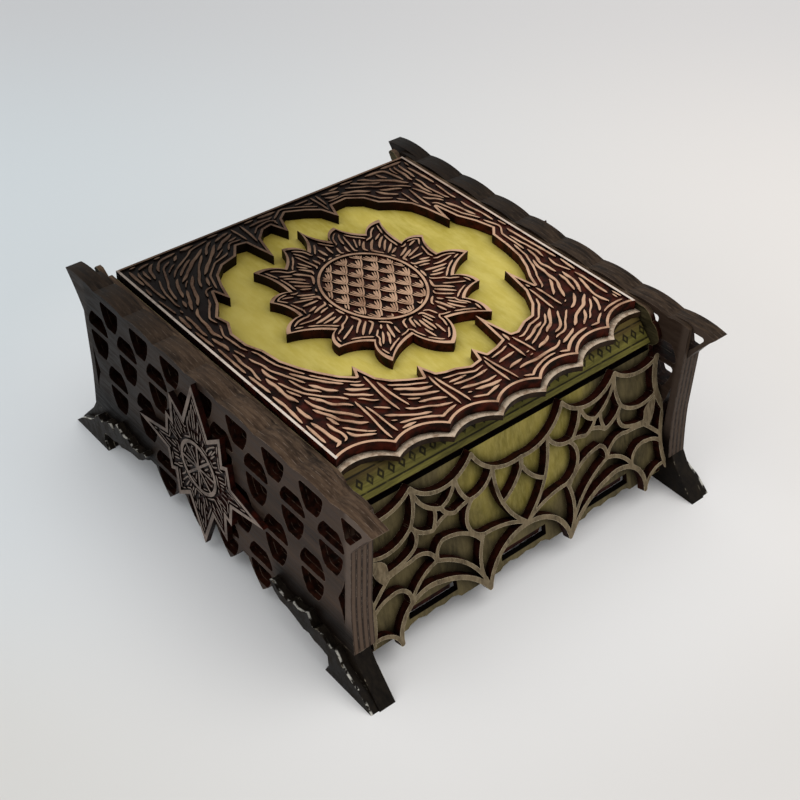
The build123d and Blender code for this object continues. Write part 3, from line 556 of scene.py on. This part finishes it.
class Field:
    """Level ground with outlines around it: where strokes may lie, and which way they run."""

    CELL = 0.4

    def __init__(self, loops, flow, hug_from, hug_to):
        self.flow, self.hug_from, self.hug_to = flow, hug_from, hug_to
        self.low = np.min([loop.min(axis=0) for loop in loops], axis=0) - 1.0
        self.high = np.max([loop.max(axis=0) for loop in loops], axis=0) + 1.0
        self.shape = tuple(((self.high - self.low) / self.CELL).astype(int) + 1)
        self.inside = self.fill(loops)
        self.rim = [sampled(loop) for loop in loops]
        self.tree = KDTree(sum(len(r) for r in self.rim))
        for i, (x, y) in enumerate(np.concatenate(self.rim)):
            self.tree.insert((x, y, 0), i)
        self.tree.balance()
        self.seeded = np.zeros(self.shape, bool)     # too near a stroke to start another
        self.taken = np.zeros(self.shape, bool)      # too near a stroke to go on

    def cell(self, point):
        i, j = ((np.asarray(point) - self.low) / self.CELL).astype(int)
        return min(max(i, 0), self.shape[0] - 1), min(max(j, 0), self.shape[1] - 1)

    def fill(self, loops):
        """Cells inside an odd number of outlines."""
        xs = self.low[0] + (np.arange(self.shape[0]) + 0.5) * self.CELL
        ys = self.low[1] + (np.arange(self.shape[1]) + 0.5) * self.CELL
        inside = np.zeros(self.shape, bool)
        for loop in loops:
            for (ax, ay), (bx, by) in zip(loop, np.roll(loop, -1, axis=0)):
                rows = (ys > min(ay, by)) & (ys <= max(ay, by))
                if ay == by or not rows.any():
                    continue
                cross = ax + (ys[rows] - ay) * (bx - ax) / (by - ay)
                inside[:, rows] ^= xs[:, None] < cross[None, :]
        return inside

    def rim_near(self, point):
        """Distance to the nearest outline, and the direction along it there."""
        found, _, distance = self.tree.find((point[0], point[1], 0))
        away = np.array([point[0] - found.x, point[1] - found.y])
        size = max(np.hypot(*away), 1e-6)
        return distance, np.array([-away[1], away[0]]) / size

    def direction(self, point, before=None):
        """Flow here, hugging the outlines near them, turned to agree with the step before."""
        way = self.flow(point)
        distance, along = self.rim_near(point)
        hug = min(max((self.hug_to - distance) / (self.hug_to - self.hug_from), 0.0), 1.0)
        if np.dot(along, way) < 0:
            along = -along
        way = way * (1 - hug) + along * hug
        way = way / max(np.hypot(*way), 1e-6)
        return -way if before is not None and np.dot(way, before) < 0 else way

    def free(self, point, gap):
        i, j = self.cell(point)
        return self.inside[i, j] and not self.taken[i, j] and self.rim_near(point)[0] > gap

    def stamp(self, grid, points, radius):
        reach = int(radius / self.CELL) + 1
        for point in points:
            i, j = self.cell(point)
            i0, i1 = max(i - reach, 0), min(i + reach + 1, self.shape[0])
            j0, j1 = max(j - reach, 0), min(j + reach + 1, self.shape[1])
            across, up = np.ogrid[i0 - i:i1 - i, j0 - j:j1 - j]
            grid[i0:i1, j0:j1] |= across ** 2 + up ** 2 <= (radius / self.CELL) ** 2

    def grow(self, start, gap, longest):
        """Streamline through a start point, as far as there is room both ways."""
        arms = []
        for sense in (1, -1):
            here = np.array(start, float)
            way = self.direction(here) * sense
            arm = []
            while len(arm) * STEP < longest / 2:
                here = here + way * STEP
                if not self.free(here, gap):
                    break
                ahead = self.direction(here, way)
                if np.dot(ahead, way) < SHARPEST:
                    break
                way = ahead
                arm.append(here.copy())
            arms.append(arm)
        return np.array(arms[1][::-1] + [np.array(start, float)] + arms[0])

    def strokes(self, seeds, rng, spacing, gap, shortest, longest):
        """Evenly spaced streamlines through those seeds that still have room, gap clear of the outlines."""
        lines = []
        for seed in seeds:
            i, j = self.cell(seed)
            if self.seeded[i, j] or not self.free(seed, gap):
                continue
            line = self.grow(seed, gap, rng.uniform(0.5, 1.0) * longest)
            if len(line) * STEP < shortest:
                continue
            self.stamp(self.seeded, line, spacing * rng.uniform(0.85, 1.1))
            self.stamp(self.taken, line, spacing * 0.62)
            lines.append(line)
        return lines


def upward(x, y, height):
    """Point above the lid's engraved ground."""
    return x, y, GROUND + height


class Relief:
    """Raised strokes gathered into one mesh: flat tops, sloping sides, pointed ends."""

    def __init__(self, name, rng, lift=upward):
        self.name, self.rng, self.lift = name, rng, lift
        self.vertices, self.faces = [], []

    def stroke(self, line, wide, blunt=0.0):
        """Ribbon along a line; blunt is the share of its width left at both ends."""
        count = len(line)
        if count < 2:
            return
        ahead = np.gradient(line, axis=0)
        ahead /= np.maximum(np.hypot(ahead[:, 0], ahead[:, 1]), 1e-6)[:, None]
        side = np.stack([-ahead[:, 1], ahead[:, 0]], axis=1)
        top = STROKE_TOP + self.rng.uniform(-0.10, 0.0)
        share = np.linspace(0, 1, count)
        swell = np.minimum(1.0, np.minimum(share, 1 - share) * count * STEP / (1.8 * wide))
        swell = blunt + (1 - blunt) * np.sqrt(np.clip(swell, 0, 1))
        swell = swell * [1 + 0.35 * swirl(point, 4.0, 5.0) for point in line]
        first = len(self.vertices)
        for point, across, size in zip(line, side, swell):
            for reach, height in ((0.62, -STROKE_FOOT), (0.40, top), (-0.40, top), (-0.62, -STROKE_FOOT)):
                u, v = point + across * reach * wide * size
                self.vertices.append(tuple(c * MM for c in self.lift(u, v, height)))
        for k in range(count - 1):
            a = first + 4 * k
            self.faces += [(a + i, a + 4 + i, a + 5 + i, a + 1 + i) for i in range(3)]

    def build(self, body, material):
        mesh = bpy.data.meshes.new(self.name)
        mesh.from_pydata(self.vertices, [], self.faces)
        mesh.materials.append(material)
        piece = bpy.data.objects.new(self.name, mesh)
        bpy.context.scene.collection.objects.link(piece)
        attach(piece, body)
        return piece


# ---------------------------------------------------------------- bark on the lid's frame
BARK_WIDE = (1.1, 1.8)                       # width of the long strokes
FILL_WIDE = (0.9, 1.3)                       # and of the short ones between them
THORN_LINE, OPENING_LINE = 1.2, 1.1          # width of the lines along the thorns and round the opening
UPRIGHT_FROM, UPRIGHT_OVER = 66.0, 12.0      # the bark turns upright along the lid's sides


def bark_flow(point):
    """Round the opening like bark round a knot, upright along the sides."""
    x, y = point[0] - FIELD_MIDDLE[0], point[1] - FIELD_MIDDLE[1]
    way = np.array([-y, x * 1.05])
    way = way / max(np.hypot(*way), 1e-6)
    if way[1] < 0:
        way = -way
    upright = min(max((abs(point[0]) - UPRIGHT_FROM) / UPRIGHT_OVER, 0.0), 1.0)
    way = way * (1 - upright) + np.array([0.0, 1.0]) * upright
    return turned(way, 0.55 * swirl(point, 13.0, 3.0) + 0.5 * swirl(point, 5.5, 7.0))


def spread_seeds(field, spacing, rng):
    """Jittered grid over the field, in random order."""
    xs = np.arange(field.low[0], field.high[0], spacing)
    ys = np.arange(field.low[1], field.high[1], spacing)
    seeds = [(x + rng.uniform(-0.5, 0.5) * spacing, y + rng.uniform(-0.5, 0.5) * spacing)
             for x in xs for y in ys]
    rng.shuffle(seeds)
    return seeds


# Where each thorn's tip is, and how wide the thorn is; a negative width hangs it the other way up.
THORNS = [(-57.0, -46.0, 5.0), (-44.0, -31.5, 5.0), (-22.5, -49.0, 5.0), (3.0, -54.5, 5.0),
          (20.5, -37.5, 6.0), (54.5, -20.5, 5.0), (-21.5, 60.0, -5.5), (63.5, 33.0, -5.0), (24.0, 69.0, -4.5)]
THORN_LONG = 30.0


def thorn_lines(x, tip, wide):
    """Two sides of a thorn that ends at a tip."""
    down = -1 if wide > 0 else 1
    edge = np.linspace(0, 1, 30)
    lines = []
    for side in (-1, 1):
        across = x + side * abs(wide) / 2 * edge ** 0.6 + 0.35 * np.sin(edge * 7 + x)
        lines.append(np.stack([across, tip + down * (1.5 + THORN_LONG * edge)], axis=1))
    return lines


def hugging_seeds(field, loop, away):
    """Points beside an outline, inside the field and this far away from it."""
    seeds = []
    for point in loop[::6]:
        for turn in range(8):
            angle = turn * math.pi / 4
            seed = point + away * np.array([math.cos(angle), math.sin(angle)])
            if field.inside[field.cell(seed)] and abs(field.rim_near(seed)[0] - away) < 0.35:
                seeds.append(seed)
    return seeds


def bark_relief(material):
    """Strokes over the lid's frame: thorns first, then a line round the opening, then bark."""
    rng = random.Random(11)
    field = Field(ground_loops("lid_bark_frame", 2, GROUND), bark_flow, hug_from=2.5, hug_to=6.0)
    relief = Relief("lid_bark_strokes", rng)
    for x, tip, wide in THORNS:
        for line in thorn_lines(x, tip, wide):
            kept = np.array([p for p in line if field.free(p, 1.0)])
            if len(kept) > 4:
                relief.stroke(kept, THORN_LINE)
                field.stamp(field.seeded, kept, 2.6)
                field.stamp(field.taken, kept, 1.7)
    opening = min(field.rim, key=len)
    seeds = hugging_seeds(field, opening, 2.3)
    for line in field.strokes(seeds, rng, spacing=2.3, gap=1.5, shortest=6.0, longest=70.0):
        relief.stroke(line, OPENING_LINE)
    seeds = spread_seeds(field, 1.6, rng)
    for line in field.strokes(seeds, rng, spacing=2.8, gap=1.5, shortest=4.5, longest=34.0):
        relief.stroke(line, rng.uniform(*BARK_WIDE))
    seeds = spread_seeds(field, 1.3, rng)
    for line in field.strokes(seeds, rng, spacing=2.1, gap=1.3, shortest=2.6, longest=12.0):
        relief.stroke(line, rng.uniform(*FILL_WIDE))
    return relief.build("lid", material)


# ---------------------------------------------------------------- crest
CREST = box_mm("lid_crest")
CREST_MIDDLE = np.array([0.0, (CREST[0].y + CREST[1].y) / 2])
SCALE_WIDE, SCALE_HIGH = 8.8, 6.0            # overlapping scales inside the crest's oval
SCALE_INSETS = (0.0, 1.5, 2.9)               # each scale is drawn as lines this far inside its edge
CREST_LINE = 1.0                             # width of the scales' lines and of those along the leaves' edges
LEAF_WIDE = (1.0, 1.5)                       # width of the strokes on the leaves
CREST_CLEAR = 0.7                            # no stroke starts nearer to the crest's middle line


def leaf_flow(point):
    """Out of the crest's middle towards the leaf tips."""
    way = np.array(point) - CREST_MIDDLE
    way = way / max(np.hypot(*way), 1e-6)
    return turned(way, 0.5 * swirl(point, 9.0, 2.0))


def in_both_halves(relief, line, wide):
    """A stroke and its mirror image across the crest's middle."""
    relief.stroke(line, wide)
    relief.stroke(line * np.array([-1.0, 1.0]), wide)


def scale_rows(relief, field, oval):
    """Rows of pointed scales inside the oval, each row overlapping the next one's gaps."""
    low, high = oval.min(axis=0), oval.max(axis=0)
    rows = int((high[1] - low[1]) / SCALE_HIGH) + 1
    for row in range(rows):
        y = high[1] - row * SCALE_HIGH
        for place in range(5):
            x = (place + 0.5 * (row % 2)) * SCALE_WIDE
            for inset in SCALE_INSETS:
                share = np.linspace(-1, 1, 21)
                fall = (SCALE_HIGH - 0.75 * inset) * (1 - np.abs(share) ** 1.5)
                line = np.stack([x + (SCALE_WIDE / 2 - inset) * share, y - fall], axis=1)
                kept = np.array([p for p in line if field.free(p, 0.75)])
                if len(kept) < 5:
                    continue
                if x == 0:
                    relief.stroke(kept, CREST_LINE)
                else:
                    in_both_halves(relief, kept, CREST_LINE)


def crest_relief(material):
    """Scales in the crest's oval, then strokes along and out of the leaves, alike left and right."""
    rng = random.Random(5)
    loops = ground_loops("lid_crest", 2, GROUND)
    loops.sort(key=lambda loop: np.ptp(loop[:, 0]))
    relief = Relief("lid_crest_strokes", rng)
    oval = Field(loops[:1], leaf_flow, hug_from=1.0, hug_to=2.0)
    scale_rows(relief, oval, loops[0])
    field = Field(loops[1:], leaf_flow, hug_from=1.6, hug_to=3.6)
    across = field.low[0] + (np.arange(field.shape[0]) + 0.5) * field.CELL
    field.inside[across < CREST_CLEAR] = False
    outline = max(field.rim, key=len)
    seeds = [p for p in hugging_seeds(field, outline, 1.9) if p[0] > CREST_CLEAR]
    for line in field.strokes(seeds, rng, spacing=1.9, gap=1.2, shortest=4.0, longest=26.0):
        in_both_halves(relief, line, CREST_LINE)
    seeds = spread_seeds(field, 1.2, rng)
    for line in field.strokes(seeds, rng, spacing=2.2, gap=1.1, shortest=3.0, longest=16.0):
        in_both_halves(relief, line, rng.uniform(*LEAF_WIDE))
    return relief.build("lid", material)


# ---------------------------------------------------------------- star emblems
STAR_LINE = 0.9                              # width of the strokes


def star_relief(side, material):
    """Second outline and rays on the engraved ground of one star."""
    rng = random.Random(8)
    node = f"star_emblem_{side}"
    low, high = box_mm(node)
    sign = 1 if side == "right" else -1
    ground = (high.x - RELIEF) if sign > 0 else (low.x + RELIEF)
    middle = np.array([(low.y + high.y) / 2, (low.z + high.z) / 2])

    def ray_flow(point):
        way = np.array(point) - middle
        return way / max(np.hypot(*way), 1e-6)

    def outward(y, z, height):
        return ground + sign * height, y, z

    loops = ground_loops(node, 0, ground)
    field = Field(loops, ray_flow, hug_from=1.2, hug_to=2.6)
    relief = Relief(f"star_strokes_{side}", rng, outward)
    outline = max(field.rim, key=len)
    seeds = hugging_seeds(field, outline, 1.5)
    for line in field.strokes(seeds, rng, spacing=1.5, gap=0.9, shortest=3.0, longest=30.0):
        relief.stroke(line, STAR_LINE)
    seeds = spread_seeds(field, 1.1, rng)
    for line in field.strokes(seeds, rng, spacing=1.8, gap=0.9, shortest=2.5, longest=12.0):
        relief.stroke(line, STAR_LINE)
    return relief.build("base", material)


# ---------------------------------------------------------------- put together
add_camera()
add_floor()
add_light()

carved = carved_paint("carved", CHAR, BEIGE, BEIGE_LOW, GROUND)
assign(carved, "lid_bark_frame", "lid_crest")
bark_relief(carved)
crest_relief(carved)
# The stars take less painted shade away from the light.
emblem = carved_paint("emblem", srgb(18, 6, 3), srgb(146, 131, 120), srgb(54, 40, 33), STAR_GROUND,
                      across=0, back_shade=0.5)
assign(emblem, *both("star_emblem"))
for side in ("left", "right"):
    star_relief(side, emblem)
assign(lid_board_paint(), "lid_board")
assign(lid_front_paint(), "lid_front_wall")
assign(front_wall_paint(), "front_wall")
assign(web_paint(), "front_web_fretwork")
assign(side_wall_paint(), *both("side_wall"))
assign(lattice_paint(), *[n for k in ("inner", "second", "third", "outer") for n in both(f"lattice_{k}")])
feet = [n for k in ("core", "rock") for w in ("back", "front") for n in both(f"foot_{k}_{w}")]
assign(foot_paint(), *feet)
assign(plain_sheet("dark_floor", *DARK_PLY, 2), "floor_panel")
assign(plain_sheet("dark_back", *DARK_PLY, 1, (0.12, 1, 1)),
       "base_back_wall", "front_inner_lip", "lid_back_wall")
assign(plain_sheet("dark_side", *DARK_PLY, 0), *both("lid_side_wall"))
brass = Paint("brass_metal")
scratch = brass.noise(0.8, stretch=(0.2, 1, 1), detail=5.0)
brass_colour = brass.mix(scratch, srgb(150, 116, 60), srgb(205, 170, 100))
brass_rough = brass.step(scratch, 0.3, 0.7, 0.28, 0.5)
assign(brass.finish(brass_colour, brass_rough, scratch, 0.03, metallic=1.0),
       *both("hinge_base_leaf"), *both("hinge_lid_leaf"), *both("hinge_pin"),
       "hinge_screws_base", "hinge_screws_lid")
